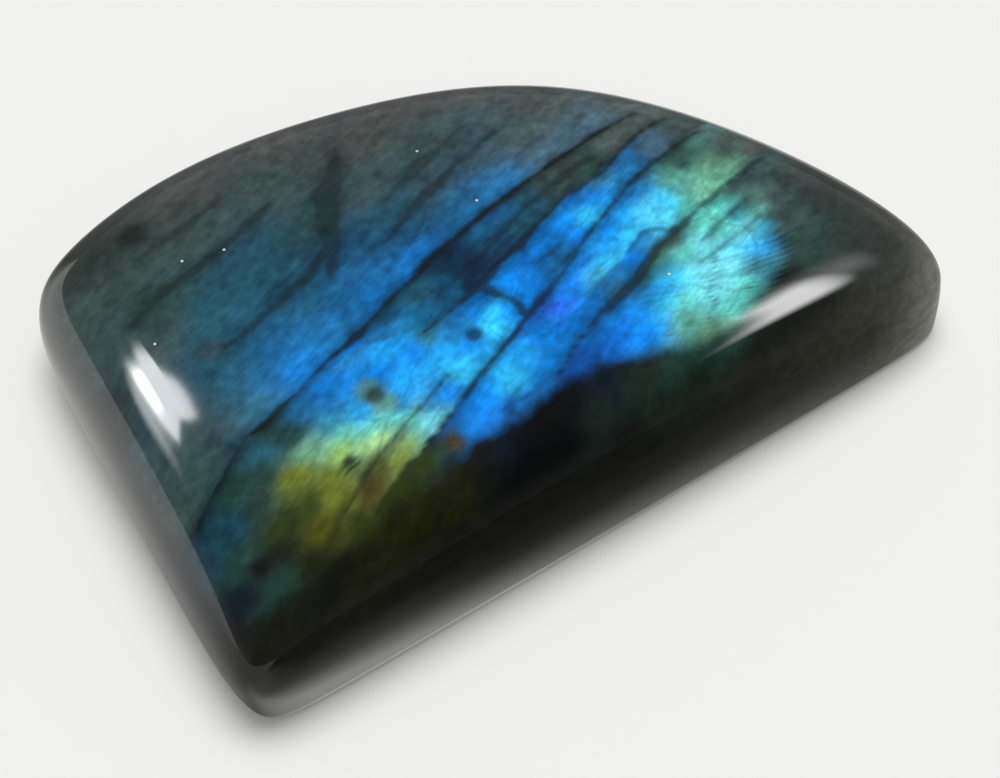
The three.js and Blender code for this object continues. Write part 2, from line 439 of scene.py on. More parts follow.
grid, angles = upper_surface()
side = 2 * HALF_GRID + 1
index = np.arange(side * side).reshape(side, side)
rim = np.concatenate([index[0, :-1], index[:-1, -1], index[-1, :0:-1], index[:0:-1, 0]])
rim_angle = angles.reshape(-1)[rim]
points = [grid.reshape(-1, 3)]
quads = [np.stack([index[:-1, :-1], index[:-1, 1:], index[1:, 1:], index[1:, :-1]], axis=-1).reshape(-1, 4)]
upper = rim
count = side * side
drops = [(0.0, share, GIRDLE_HEIGHT + (BACK_BEVEL_HEIGHT - GIRDLE_HEIGHT) * share)
         for share in np.arange(1, WALL_RINGS + 1) / WALL_RINGS]
insets = [BACK_BEVEL_DEPTH, BACK_BEVEL_DEPTH + BACK_INSET]
for level, foot_share, z in drops + [(-inset / SHOULDERS[1], 1.0, 0.0) for inset in insets]:
    reach = ring_radius(rim_angle, level, foot_share)
    plan = MIDDLE + np.stack([np.cos(rim_angle), np.sin(rim_angle)], axis=-1) * reach[:, None]
    points.append(np.concatenate([plan, np.full((len(rim), 1), z)], axis=1))
    below = count + np.arange(len(rim))
    quads.append(np.stack([upper, below, np.roll(below, -1), np.roll(upper, -1)], axis=1))
    upper = below
    count += len(rim)
points.append([[*MIDDLE, 0.0]])
back = np.stack([upper, np.full(len(rim), count), np.roll(upper, -1)], axis=1)
points = np.concatenate(points)
faces = np.concatenate(quads).tolist() + back.tolist()
near_corner = -(points.min(0) + points.max(0))[:2] / 2

# The flash
# Labradorite flashes where light meets its thin inner layers. Flat dark seams cut the stone into panes,
# and each pane flashes in colours that drift along it. Places are plan millimetres from the near corner,
# listed one by one, and the colours were matched spot by spot to ones measured in the photograph.
COLOURS = {
    "ink": "#040606", "soot": "#11140e", "bark": "#1b1d08", "umber": "#4a3c0a", "gold": "#66610f",
    "olive": "#666f1c", "khaki": "#484a08", "lime": "#94b84a", "leaf": "#bcf09a", "mint": "#8ce2bc",
    "sage": "#66987a", "fern": "#4a7a5e", "pine": "#1c3c34", "moss": "#1a2620", "spruce": "#2a453f",
    "teal": "#28686f", "abyss": "#0f3a4a", "haze": "#384a47", "mist": "#4c5a57", "smoke": "#2f3634",
    "ash": "#454947", "clay": "#30322a", "dusk": "#205264", "slate": "#1a6294", "steel": "#1f78b6",
    "navy": "#0e2a44", "shade": "#1c4454", "storm": "#165880", "lake": "#12709c", "grove": "#28350a",
    "lichen": "#4f6f66", "night": "#0b1a28", "cobalt": "#0a4896", "royal": "#0c68d0", "lagoon": "#35728a",
    "fjord": "#46677a", "tide": "#2c8aa4", "deep": "#143f60", "marine": "#0868b4", "azure": "#0686ea",
    "sky": "#1ea4f4", "cyan": "#34c6fa", "ice": "#80eefc", "frost": "#52cdf5", "jade": "#5aa08c",
    "aqua": "#5fcabc", "indigo": "#2e66ee",
}

GRAIN_TILT = np.radians(24)
GRAIN_DIP = 0.58
GRAIN_TOP = 7.0

# Seams, as bent lines from left to right. The first two part after LEFT_STRETCH, and the ledge's top and
# the fourth seam meet in RIGHT_STRETCH.
LEFT_STRETCH = [
    (-3, 4.0), (1, 6.4), (3, 7.7), (5.5, 9.3), (7, 10.1), (10, 10.75),
]
RIGHT_STRETCH = [
    (31, 9.5), (33, 10.15), (36, 11.1), (44, 14),
]
MAIN_SEAM = LEFT_STRETCH + [
    (13.5, 11.75), (16, 12.8), (18, 13.4), (19.5, 14.15), (23, 15.2), (26.3, 16.0), (30, 16.8), (34, 17.4),
    (44, 19),
]
SECOND_SEAM = LEFT_STRETCH + [
    (12.5, 11.3), (14.5, 11.0), (16.8, 10.4), (18.5, 10.75), (20, 11.1), (22, 11.9), (23.5, 12.45),
    (25, 13.1), (27, 13.9), (29.5, 14.5), (32.5, 15.7), (44, 18.5),
]
THIRD_SEAM = [
    (-3, -3), (5, 1.0), (8, 2.6), (10, 3.6), (12, 4.5), (14, 5.1), (16, 6.1), (18, 7.0), (20.8, 8.3),
    (23.5, 9.5), (26, 10.9), (28, 11.9), (30, 13.0), (32.5, 13.8), (36, 15), (44, 17.5),
]
LEDGE_TOP = [
    (-3, -3), (20, 5.2), (23, 7.4), (24.5, 8.15), (27.2, 9.1), (28.6, 9.9), (29, 10.1), (30.4, 9.6),
] + RIGHT_STRETCH
FOURTH_SEAM = [
    (-3, -3), (18, 2.5), (20, 4.6), (22, 5.8), (24, 6.6), (26, 7.2), (28, 8.2), (29, 8.9),
] + RIGHT_STRETCH
FLASH_EDGE = [
    (-3, 1.4), (3, 1.8), (6, 2.4), (9, 2.6), (11, 3.0), (13.5, 3.5), (15, 3.9), (17, 3.9), (18.5, 4.1),
    (20, 4.4), (22, 4.4), (24, 4.1), (25.5, 3.8), (27, 3.5), (29.5, 3.4), (31, 3.9), (32.5, 4.6),
    (33.8, 5.4), (34.6, 6.4), (35.2, 7.6), (36, 8.8), (37, 9.4), (44, 10),
]

UPPER_LEFT = [
    (4, 9.5, "spruce"), (4.5, 12, "haze"), (6, 10.8, "haze"), (7.8, 12.4, "dusk"), (8, 11, "lagoon"),
    (10.6, 11.9, "azure"), (9.8, 12.6, "slate"), (12.5, 12.6, "steel"), (11, 13.6, "slate"),
    (13.8, 13, "slate"), (15.8, 13.6, "marine"), (17.2, 14.3, "storm"), (19, 14.6, "azure"),
    (21.5, 15.4, "slate"), (25.2, 16.4, "steel"), (24.2, 16.0, "steel"), (23, 16.6, "storm"),
    (28, 17, "fjord"), (31.5, 17.4, "fjord"), (34, 18, "mist"), (12.5, 15, "dusk"), (8.8, 14.6, "dusk"),
    (15.5, 15.4, "slate"), (18.2, 15.8, "shade"), (20.5, 16.3, "shade"), (6, 14, "shade"), (6, 17, "haze"),
    (9, 17.3, "dusk"), (12.5, 17.8, "dusk"), (14.8, 16.6, "shade"), (17, 17.2, "deep"),
    (19.5, 17.8, "dusk"), (22, 18, "haze"), (25, 18, "haze"), (7.5, 19, "spruce"), (12.5, 19.4, "shade"),
    (16, 19, "spruce"), (19.5, 19.6, "haze"), (23.5, 20.5, "haze"), (28, 19, "haze"), (27.8, 18.2, "mist"),
    (6, 22, "haze"), (11, 22, "haze"), (16, 22.5, "haze"), (21, 23, "ash"), (5.5, 24.5, "moss"),
    (12, 25, "ash"), (18, 25.5, "ash"), (24, 24, "ash"), (30, 20.5, "ash"), (34, 19, "ash"),
    (38, 16, "ash"), (8, 27, "smoke"), (28, 24, "ash"), (1.5, 15, "smoke"), (3, 22, "haze"), (1, 9, "haze"),
]
DARK_PANE = [
    (13.2, 11.4, "azure"), (14.5, 11.4, "slate"), (15.6, 11.9, "abyss"), (15.4, 11.1, "steel"),
    (16.6, 11.1, "lake"), (17.5, 12.3, "dusk"), (17.6, 11.2, "storm"), (18.6, 12.0, "storm"),
    (19.6, 13.4, "navy"), (20.5, 12.2, "navy"), (21.2, 13.6, "navy"), (22.4, 14.1, "storm"),
    (22.6, 12.9, "deep"), (23.8, 14.4, "slate"), (24.4, 13.8, "dusk"), (25.6, 14.6, "dusk"),
    (27, 15.2, "haze"), (28.4, 15.8, "haze"), (29.5, 15.2, "spruce"), (31.5, 16.2, "mist"),
    (34, 16.9, "mist"), (38, 17, "ash"),
]
MIDDLE_PANE = [
    (1, 5, "abyss"), (3.4, 6.0, "abyss"), (2.6, 7.2, "abyss"), (4.2, 7.6, "pine"), (5, 6.4, "spruce"),
    (6.6, 8.6, "dusk"), (5.8, 7.4, "pine"), (8.3, 8.6, "pine"), (7.6, 9.2, "pine"), (9.6, 9.6, "slate"),
    (8.6, 7.5, "sage"), (10, 8.2, "tide"), (10.2, 7.2, "aqua"), (11.6, 7.1, "aqua"), (12.5, 6.6, "aqua"),
    (7.2, 6.5, "olive"), (9.8, 6.7, "lime"), (11.4, 6.2, "leaf"), (8.4, 5.6, "olive"), (6.9, 5.0, "grove"),
    (5.2, 4.7, "grove"), (8.3, 4.5, "olive"), (9.8, 4.2, "umber"), (10.7, 5.0, "khaki"),
    (11.8, 4.7, "olive"), (12.6, 5.2, "lime"), (13.6, 5.45, "ice"), (14.0, 5.5, "ice"), (13.1, 6.0, "aqua"),
    (12.4, 5.7, "gold"), (6.6, 3.6, "khaki"), (4.3, 3.6, "soot"), (3, 4.4, "pine"), (4, 2.5, "pine"),
    (8.5, 3.0, "grove"), (2, 3, "night"), (5.6, 2.6, "bark"), (10.6, 9.0, "steel"), (11, 10, "marine"),
    (12, 9.6, "azure"), (12.8, 10.6, "steel"), (11.6, 8.0, "sky"), (13.6, 9.4, "azure"),
    (14.6, 10.2, "sky"), (14.4, 8.6, "sky"), (13.4, 7.3, "steel"), (14.6, 6.2, "steel"),
    (15.4, 6.6, "azure"), (14.0, 7.8, "sky"), (16, 8.6, "sky"), (16.9, 7.5, "cyan"), (15.4, 9.6, "azure"),
    (16.4, 9.9, "teal"), (17.8, 9.6, "steel"), (17.8, 8.2, "azure"), (19.4, 8.7, "cyan"), (20, 9.4, "cyan"),
    (19.2, 9.9, "marine"), (19.8, 10.4, "marine"), (20.6, 9.2, "azure"), (21.8, 9.2, "azure"),
    (21.9, 10.7, "azure"), (22.8, 10.0, "marine"), (23, 11.2, "marine"), (24, 10.5, "slate"),
    (25, 10.8, "storm"), (24.2, 11.5, "azure"), (24.8, 12.3, "marine"), (26, 12.2, "azure"),
    (26.2, 11.5, "azure"), (27.3, 12.3, "cyan"), (27.3, 13.2, "marine"), (28.6, 13.2, "azure"),
    (29.2, 13.8, "lagoon"), (28.8, 12.7, "sky"), (30.6, 13.7, "steel"), (31.4, 14.4, "slate"),
    (33, 14.8, "fjord"), (35.4, 14.1, "haze"), (35, 15.6, "haze"), (38, 16, "ash"), (42, 16, "ash"),
]
LOWER_PANE = [
    (11, 3.6, "grove"), (12.6, 4.0, "grove"), (14, 4.3, "grove"), (9.4, 2.6, "grove"), (15.6, 4.6, "azure"),
    (15.4, 5.3, "marine"), (16.8, 5.3, "azure"), (18.2, 5.5, "cyan"), (17.6, 4.7, "royal"),
    (19.6, 6.4, "sky"), (20.2, 5.2, "marine"), (21.5, 4.7, "cobalt"), (21.3, 6.9, "azure"),
    (22, 7.6, "marine"), (22.6, 8.2, "indigo"), (23.6, 8.8, "azure"), (24.6, 9.0, "royal"),
    (25.6, 9.0, "frost"), (26.4, 9.4, "cyan"), (25.4, 9.9, "azure"), (27, 10.2, "sky"),
    (27.6, 11.0, "azure"), (28.4, 10.4, "cyan"), (28.8, 11.4, "sky"), (30, 11.0, "frost"),
    (30.2, 10.3, "frost"), (30.6, 12.2, "steel"), (31.2, 11.0, "cyan"), (29.8, 12.2, "marine"),
    (31.7, 10.3, "aqua"), (32.4, 11.2, "jade"), (32.6, 12.4, "jade"), (33.6, 10.8, "mint"),
    (34, 11.4, "jade"), (34.8, 12.0, "sage"), (33.5, 13.2, "spruce"), (36.0, 12.9, "haze"),
    (38.5, 12.5, "ash"), (42, 13, "ash"),
]
LEDGE = [
    (22.6, 6.7, "marine"), (23.6, 7.2, "marine"), (24.6, 7.5, "marine"), (25.4, 8.2, "steel"),
    (26.4, 8.4, "steel"), (27.6, 8.8, "azure"), (28.9, 9.6, "steel"), (27, 7.9, "slate"),
    (25.8, 7.4, "lagoon"), (29.4, 9.3, "frost"), (30.4, 9.5, "lagoon"),
]
RIGHT_PANE = [
    (22.2, 5.2, "cobalt"), (23.2, 6.0, "marine"), (24.4, 5.2, "royal"), (24.8, 6.4, "marine"),
    (25.6, 4.7, "azure"), (25.8, 5.8, "azure"), (26.6, 6.8, "steel"), (27, 5.6, "cyan"), (27.4, 6.6, "sky"),
    (28.4, 7.4, "tide"), (28.6, 6.4, "cyan"), (28.3, 5.3, "aqua"), (27.8, 4.4, "jade"), (28.6, 3.3, "sage"),
    (27.4, 7.6, "pine"), (28.6, 8.3, "fern"), (30, 8.8, "haze"), (30, 8.0, "aqua"), (30, 6.6, "ice"),
    (31.2, 7.8, "ice"), (30.6, 5.4, "ice"), (29.4, 5.2, "ice"), (30.2, 4.4, "aqua"), (31.6, 6.4, "ice"),
    (32.4, 6.8, "frost"), (31.4, 4.8, "aqua"), (32.6, 5.2, "lagoon"), (32.6, 9.1, "aqua"),
    (33.5, 9.5, "aqua"), (32.4, 8.2, "aqua"), (33.4, 7.6, "ice"), (33.4, 6.6, "sky"), (34.2, 7.3, "tide"),
    (34.6, 8.4, "jade"), (33.8, 8.7, "tide"), (35.0, 9.3, "lichen"), (34.6, 10.3, "haze"),
    (36, 10.4, "haze"), (34.9, 6.6, "deep"), (35.6, 7.8, "spruce"), (36, 9.0, "mist"), (37.5, 9.5, "smoke"),
    (40, 10, "smoke"), (37, 6.5, "smoke"), (40, 6, "soot"),
]
DARK_FRONT = [
    (0.5, 1, "soot"), (3.1, 0.7, "bark"), (5.5, 1.1, "soot"), (3.4, 1.8, "moss"), (8, 1.0, "bark"),
    (11.3, 1.9, "bark"), (13.2, 2.4, "bark"), (15.1, 2.8, "soot"), (16.3, 3.2, "night"), (17.2, 2.8, "ink"),
    (16.2, 1.5, "ink"), (18.3, 3.2, "ink"), (20.2, 3.7, "ink"), (18.6, 2.0, "ink"), (21.4, 2.7, "moss"),
    (22.1, 3.7, "night"), (24.2, 3.5, "moss"), (24, 2.3, "moss"), (26.2, 3.4, "pine"), (27.6, 3.1, "pine"),
    (26.9, 2.2, "soot"), (29.5, 3.1, "spruce"), (30, 2.4, "soot"), (33, 3.8, "soot"), (35.4, 5.6, "spruce"),
    (36.5, 7.4, "haze"), (38.5, 8, "smoke"), (38, 5, "smoke"), (34, 2, "soot"), (30, 0.8, "soot"),
    (22, 0.5, "ink"), (12, 0, "ink"), (40, 3, "smoke"), (42, 5, "smoke"), (36, 0.5, "clay"),
    (2, -1, "soot"), (12, -2, "ink"), (22, -2, "ink"), (32, -2, "soot"),
]

# Each pane above the seam that bounds it from below, from the front to the back, with how softly its
# colours blend, in mm. The right pane lies in front of them all, and the dark front before it.
PANES = [
    (FOURTH_SEAM, LEDGE, 0.5), (LEDGE_TOP, LOWER_PANE, 0.6), (THIRD_SEAM, MIDDLE_PANE, 0.55),
    (SECOND_SEAM, DARK_PANE, 0.6), (MAIN_SEAM, UPPER_LEFT, 1.3),
]
RIGHT_PANE_SOFTNESS = 0.55
DARK_FRONT_SOFTNESS = 0.8
SEAM_SOFTNESS = 0.12
FLASH_EDGE_SOFTNESS = 0.45
FLASH_EDGE_JAG = 1.5
BLEND_POWER = 4.5
BLEND_STRETCH = 1.5

# Dark lines where a seam, a fine cleavage or a crack comes to the surface: how dark, then x, y and half
# width.
DARK_LINES = [
    (0.92, [
        (2, 7.1, 0.04), (4, 8.2, 0.08), (5.6, 9.3, 0.06), (6.6, 9.85, 0.12), (7.4, 9.85, 0.22),
        (8.2, 10.1, 0.12), (9.2, 10.45, 0.05), (12, 11.45, 0.04), (13.3, 11.7, 0.12), (13.9, 11.9, 0.24),
        (14.8, 12.3, 0.1), (16.5, 12.95, 0.05), (18, 13.45, 0.07), (19.2, 14, 0.18), (20.5, 14.4, 0.12),
        (21.8, 14.7, 0.16), (23.5, 15.2, 0.1), (25, 15.6, 0.07), (27, 16.05, 0.05), (29, 16.5, 0.07),
        (31, 16.9, 0.04), (34, 17.4, 0.02),
    ]),
    (0.85, [
        (16.6, 10.3, 0.02), (18.5, 10.7, 0.05), (20, 11.1, 0.12), (21, 11.4, 0.14), (22, 12, 0.12),
        (23.5, 12.4, 0.12), (25, 13.2, 0.1), (26, 13.5, 0.1), (27, 13.95, 0.07), (28.6, 14.2, 0.07),
        (30, 14.6, 0.05), (31.4, 15.3, 0.06), (33, 15.9, 0.03), (35, 16.4, 0.02),
    ]),
    (0.6, [
        (18.4, 11.9, 0.03), (20.4, 12.5, 0.08), (22.4, 13.2, 0.06), (24.6, 14.2, 0.05), (27, 15, 0.04),
        (30, 15.8, 0.02),
    ]),
    (0.5, [(19.6, 11.6, 0.02), (21.2, 12.2, 0.06), (23, 12.9, 0.04), (24.4, 13.4, 0.02)]),
    (0.85, [
        (12.8, 4.8, 0.02), (14, 5.1, 0.03), (15.5, 5.75, 0.07), (16.6, 6.3, 0.14), (17.6, 6.8, 0.18),
        (18.6, 7.2, 0.12), (20, 7.8, 0.1), (20.9, 8.3, 0.14), (22, 8.8, 0.16), (23.4, 9.4, 0.12),
        (24.8, 10.1, 0.08), (26, 10.9, 0.1), (28, 11.9, 0.1), (30.4, 13.1, 0.1), (32, 13.6, 0.14),
        (34, 14.2, 0.12), (36, 14.8, 0.04),
    ]),
    (0.72, [
        (20.6, 4.9, 0.06), (22, 5.7, 0.1), (24, 6.6, 0.14), (25.4, 7, 0.22), (27, 7.6, 0.26),
        (28, 8.2, 0.22), (29, 8.8, 0.22), (30, 9.2, 0.2), (31.2, 9.6, 0.2), (32.2, 9.95, 0.14),
        (33.5, 10.3, 0.16), (34.6, 10.7, 0.12), (36, 11.1, 0.08), (38, 11.7, 0.04),
    ]),
    (0.6, [
        (7, 3.2, 0.04), (8.6, 4.1, 0.05), (10.2, 5, 0.07), (11.2, 5.5, 0.06), (12, 5.85, 0.06),
        (13, 6.25, 0.07), (14, 6.6, 0.07), (15, 7, 0.05), (16, 7.5, 0.03),
    ]),
    (0.8, [
        (20.5, 11.1, 0.2), (20.7, 10.3, 0.18), (21.1, 9.8, 0.12), (21.25, 9.2, 0.14), (21.1, 8.5, 0.16),
    ]),
    (0.35, [
        (24.3, 8.1, 0.03), (25.8, 8.55, 0.06), (27.2, 9.05, 0.05), (28.4, 9.75, 0.04), (29, 10.1, 0.05),
    ]),
    (0.45, [(29, 10.1, 0.03), (29.8, 9.8, 0.06), (30.4, 9.6, 0.04)]),
    (0.5, [
        (5.4, 18.9, 0.1), (8, 19.8, 0.2), (9.5, 20, 0.25), (11, 20.4, 0.2), (13, 21, 0.2), (15, 21.8, 0.05),
    ]),
    (0.55, [
        (8.5, 15, 0.05), (10, 15.2, 0.12), (11.5, 15.8, 0.15), (12.6, 16.1, 0.25), (14, 16.4, 0.2),
        (15.4, 17.4, 0.2),
    ]),
    (0.5, [(14.8, 15.8, 0.1), (15.8, 17.4, 0.4), (16.6, 19, 0.6), (17.6, 20.6, 0.6), (19.4, 22.4, 0.3)]),
    (0.5, [(18.4, 16.3, 0.05), (20.4, 17.3, 0.2), (22, 18, 0.2), (24.4, 19, 0.1), (27, 19.8, 0.05)]),
    (0.4, [(19, 15.4, 0.05), (20, 16, 0.15), (20.8, 16.6, 0.05)]),
    (0.35, [(8, 22.4, 0.1), (11, 23, 0.2), (14, 23.8, 0.1)]),
    (0.35, [(19.5, 18.6, 0.1), (22.5, 19.8, 0.25), (26, 21, 0.1)]),
    (0.5, [(28.4, 3.7, 0.06), (29.3, 4.8, 0.09), (30.3, 5.9, 0.08), (31.4, 7.3, 0.06)]),
    (0.5, [(29, 4, 0.03), (29.5, 4.7, 0.12), (29.8, 5.1, 0.03)]),
    (0.5, [(30.2, 7.0, 0.03), (31.4, 7.2, 0.05), (33, 7.6, 0.04), (34.8, 8.1, 0.02)]),
    (0.6, [(30.3, 3.9, 0.04), (32, 4.1, 0.07), (34.3, 4.4, 0.03)]),
    (0.55, [(31.3, 8.1, 0.04), (32.2, 8.45, 0.1), (33.4, 8.9, 0.09), (34.8, 9.35, 0.06)]),
    (0.4, [(17.2, 4.3, 0.1), (17.9, 4.7, 0.1), (18.4, 5.1, 0.03)]),
    (0.5, [(23.4, 11, 0.05), (24.4, 11.2, 0.12), (25.4, 11.5, 0.05)]),
    (0.5, [(23.8, 10, 0.04), (24.8, 10.4, 0.12), (25.8, 11, 0.04)]),
    (0.5, [(22, 13.4, 0.05), (23.2, 13.7, 0.12), (24.6, 14.3, 0.05)]),
    (0.5, [(26.4, 14.9, 0.05), (28, 15.2, 0.2), (30, 15.7, 0.1)]),
]

# Dark grains inside the stone: x, y, radius, colour and how strongly they show.
GRAINS = [
    (9.65, 5.75, 0.5, "soot", 0.9), (12.5, 8.8, 0.8, "fern", 0.8), (12.7, 7.8, 0.75, "sage", 0.7),
    (12.6, 8.4, 0.6, "bark", 0.75), (31.9, 7.25, 0.2, "teal", 0.7), (18.4, 8.85, 0.5, "deep", 0.9),
    (5.75, 9.8, 0.3, "abyss", 0.8), (3.4, 3.65, 0.45, "ink", 0.85), (14.3, 4.2, 0.5, "umber", 0.7),
    (8.6, 24.2, 0.9, "soot", 0.75), (11.6, 24.2, 0.6, "smoke", 0.5), (13.9, 24.7, 0.5, "smoke", 0.4),
    (7.8, 15.2, 0.7, "umber", 0.25), (31.6, 5.4, 0.16, "teal", 0.7), (31.5, 4.6, 0.25, "teal", 0.6),
    (27.6, 10.35, 0.2, "cobalt", 0.5), (10.4, 9.9, 0.3, "cobalt", 0.5),
]

GRAIN_EDGE = (1.3, 0.4)
GRAIN_JAG = 0.3

# Layers of noise: strength, size in mm, how far it is drawn out along the grain (0 for plain), and seed.
SLIP = [(0.14, 0.6, 3, 1), (0.06, 0.25, 3, 2)]
SWAY = [(0.2, 1.3, 0, 3), (0.06, 0.5, 0, 4)]
JAG = [(0.09, 0.9, 0, 5), (0.04, 0.3, 0, 6)]
SHADE = [(0.14, 0.45, 4, 7), (0.10, 0.2, 4, 8), (0.16, 0.6, 0, 9), (0.12, 1.8, 0, 10), (0.12, 0.25, 0, 11)]
LATTICE = 64

along = np.array([np.cos(GRAIN_TILT), np.sin(GRAIN_TILT)])
across = np.array([-np.sin(GRAIN_TILT), np.cos(GRAIN_TILT)])


def above(p, line):
    """How far plan points lie above a bent line that runs from left to right, squarely to the grain."""
    x, y = np.array(line, float).T
    return (p[:, 1] - np.interp(p[:, 0], x, y)) * np.cos(GRAIN_TILT)


def soft_step(value, low, high):
    """0 below low and 1 above high, and a smooth ramp between. low may be the larger of the two."""
    share = np.clip((value - low) / (high - low), 0, 1)
    return share * share * (3 - 2 * share)


def mottle(p, size, seed):
    """Noise from -1 to 1: random values on a square lattice of the given size, blended smoothly in
    between."""
    values = np.random.default_rng(seed).uniform(-1, 1, (LATTICE, LATTICE))
    cell = np.floor(p / size).astype(int)
    share = soft_step(p / size - cell, 0, 1)
    i, j = cell.T % LATTICE
    right, up = (i + 1) % LATTICE, (j + 1) % LATTICE
    low = values[i, j] * (1 - share[:, 0]) + values[right, j] * share[:, 0]
    high = values[i, up] * (1 - share[:, 0]) + values[right, up] * share[:, 0]
    return low * (1 - share[:, 1]) + high * share[:, 1]


def layered(p, layers):
    """The sum of layers of that noise, each times its strength. A layer with a stretch is turned to the
    grain and drawn out along it."""
    total = 0
    for strength, size, stretch, seed in layers:
        place = np.stack([p @ along / stretch, p @ across], axis=1) if stretch else p
        total = total + strength * mottle(place, size, seed)
    return total


def rgb(code):
    """The linear red, green and blue of an sRGB hex code."""
    return np.array(linear(code)[:3])


def laid_over(colour, share, top):
    """A colour moved towards the one laid over it, by a share at each point."""
    return colour + share[:, None] * (top - colour)


def blend(p, spots, softness):
    """The mean of the spots' colours, each weighted by its distance to a minus power. The distance
    counts less along the grain, and the softness in mm is added to it as to a hypotenuse."""
    total = 0
    colour = 0
    for x, y, name in spots:
        run = (p - [x, y]) @ along / BLEND_STRETCH
        rise = (p - [x, y]) @ across
        weight = (run ** 2 + rise ** 2 + softness ** 2) ** (-BLEND_POWER / 2)
        total = total + weight
        colour = colour + weight[:, None] * rgb(COLOURS[name])
    return colour / total[:, None]


def outside_stroke(p, stroke):
    """The distance outside a stroke whose half width changes evenly from each of its points to the
    next."""
    nearest = np.full(len(p), np.inf)
    for start, end in zip(stroke[:-1], stroke[1:]):
        start, end = np.array(start), np.array(end)
        run = (end - start)[:2]
        share = np.clip((p - start[:2]) @ run / (run @ run), 0, 1)[:, None]
        middle = start + share * (end - start)
        nearest = np.minimum(nearest, np.linalg.norm(p - middle[:, :2], axis=1) - middle[:, 2])
    return nearest


def inside_edge(p, line):
    """The distance to a bent line, counted below zero under the line."""
    distance = outside_stroke(p, [(x, y, 0.0) for x, y in line])
    return np.copysign(distance, above(p, line))


def flash_colour(p):
    """The colour at plan points: the panes' own colours, drifting a little along and across the grain,
    then the dark front, streaks and clouds of light and shade, and the grains."""
    drifted = p + layered(p, SLIP)[:, None] * along + layered(p, SWAY)[:, None] * across
    jag = layered(p, JAG)
    colour = blend(drifted, RIGHT_PANE, RIGHT_PANE_SOFTNESS)
    for seam, spots, softness in PANES:
        share = soft_step(above(p, seam) + jag, -SEAM_SOFTNESS, SEAM_SOFTNESS)
        colour = laid_over(colour, share, blend(drifted, spots, softness))
    edge = inside_edge(p, FLASH_EDGE) + FLASH_EDGE_JAG * jag
    share = soft_step(edge, -FLASH_EDGE_SOFTNESS, FLASH_EDGE_SOFTNESS)
    colour = laid_over(blend(drifted, DARK_FRONT, DARK_FRONT_SOFTNESS), share, colour)
    colour = colour * (1 + layered(p, SHADE))[:, None]
    for x, y, radius, name, strength in GRAINS:
        away = np.linalg.norm(p - [x, y], axis=1) + GRAIN_JAG * jag
        share = strength * soft_step(away, GRAIN_EDGE[0] * radius, GRAIN_EDGE[1] * radius)
        colour = laid_over(colour, share, rgb(COLOURS[name]))
    return colour


def dark_line_field(p):
    """The distance outside the nearest dark line, with the seams' ragged shift, and how dark that line
    is."""
    distances = np.stack([outside_stroke(p, stroke) for _, stroke in DARK_LINES])
    nearest = distances.argmin(axis=0)
    darkness = np.array([dark for dark, _ in DARK_LINES])[nearest]
    return distances.min(axis=0) + layered(p, JAG), darkness


# On the walls the grain leans back into the stone, and the flash gives way to bare grey-green stone. The
# thin right end is painted lighter, and the foot a little, as painted light: it stands for light shining
# through the stone and for the bright floor mirrored in it.
BARE_STONE = "#1a1b17"
BARE_THIN_END_PAINTED_LIGHT = "#4c4c43"
BARE_SHARE = 0.85
BARE_HEIGHTS = (7.2, 5.0)
BACK_HEIGHTS = (1.2, 0.2)
THIN_END_START = 20.0
THIN_END_LENGTH = 23.0
THIN_END_PAINTED_GLOW = "#a3a498"
PAINTED_GLOW_START = 36.0
PAINTED_GLOW_LENGTH = 6.5
PAINTED_GLOW_HEIGHTS = (6.2, 3.0)
FOOT_PAINTED_GLOW = "#6b6a60"
FOOT_PAINTED_GLOW_SHARE = 0.35
FOOT_PAINTED_GLOW_HEIGHTS = (3.4, 0.0)
LINE_FADE_HEIGHTS = (0.4, 4.0)

drop = np.maximum(GRAIN_TOP - points[:, 2], 0)
place_in_grain = points[:, :2] - drop[:, None] * GRAIN_DIP * across
# Painted light: the bare stone is painted lighter towards the thin right end.
thin_end_painted_light = np.clip((points[:, 0] - THIN_END_START) / THIN_END_LENGTH, 0, 1) ** 2
bare_with_painted_end_light = laid_over(rgb(BARE_STONE), thin_end_painted_light, rgb(BARE_THIN_END_PAINTED_LIGHT))
skin = np.maximum(BARE_SHARE * soft_step(points[:, 2], *BARE_HEIGHTS), soft_step(points[:, 2], *BACK_HEIGHTS))
colour = laid_over(flash_colour(place_in_grain), skin, bare_with_painted_end_light)
# Painted light: a pale painted glow near the tip of the right end, on its wall and shoulder.
glow = np.clip((points[:, 0] - PAINTED_GLOW_START) / PAINTED_GLOW_LENGTH, 0, 1) ** 2 * soft_step(points[:, 2], *PAINTED_GLOW_HEIGHTS)
colour = laid_over(colour, glow, rgb(THIN_END_PAINTED_GLOW))
# Painted light: the lower wall is painted lighter towards the floor.
colour = laid_over(colour, FOOT_PAINTED_GLOW_SHARE * soft_step(points[:, 2], *FOOT_PAINTED_GLOW_HEIGHTS), rgb(FOOT_PAINTED_GLOW))
distance, darkness = dark_line_field(place_in_grain)
darkness = darkness * soft_step(points[:, 2], *LINE_FADE_HEIGHTS)

mesh = bpy.data.meshes.new("cabochon_polished")
placed = points + [*near_corner, 0.0]
mesh.from_pydata((placed * MM).tolist(), [], faces)
mesh.polygons.foreach_set("use_smooth", np.ones(len(faces), bool))
rgba = np.concatenate([colour, np.ones((len(colour), 1))], axis=1).ravel()
mesh.attributes.new("flash", "FLOAT_COLOR", "POINT").data.foreach_set("color", rgba.astype(np.float32))
for name, values in (("line_distance", distance), ("line_darkness", darkness)):
    mesh.attributes.new(name, "FLOAT", "POINT").data.foreach_set("value", values.astype(np.float32))
stone = bpy.data.objects.new("cabochon_polished", mesh)
scene.collection.objects.link(stone)

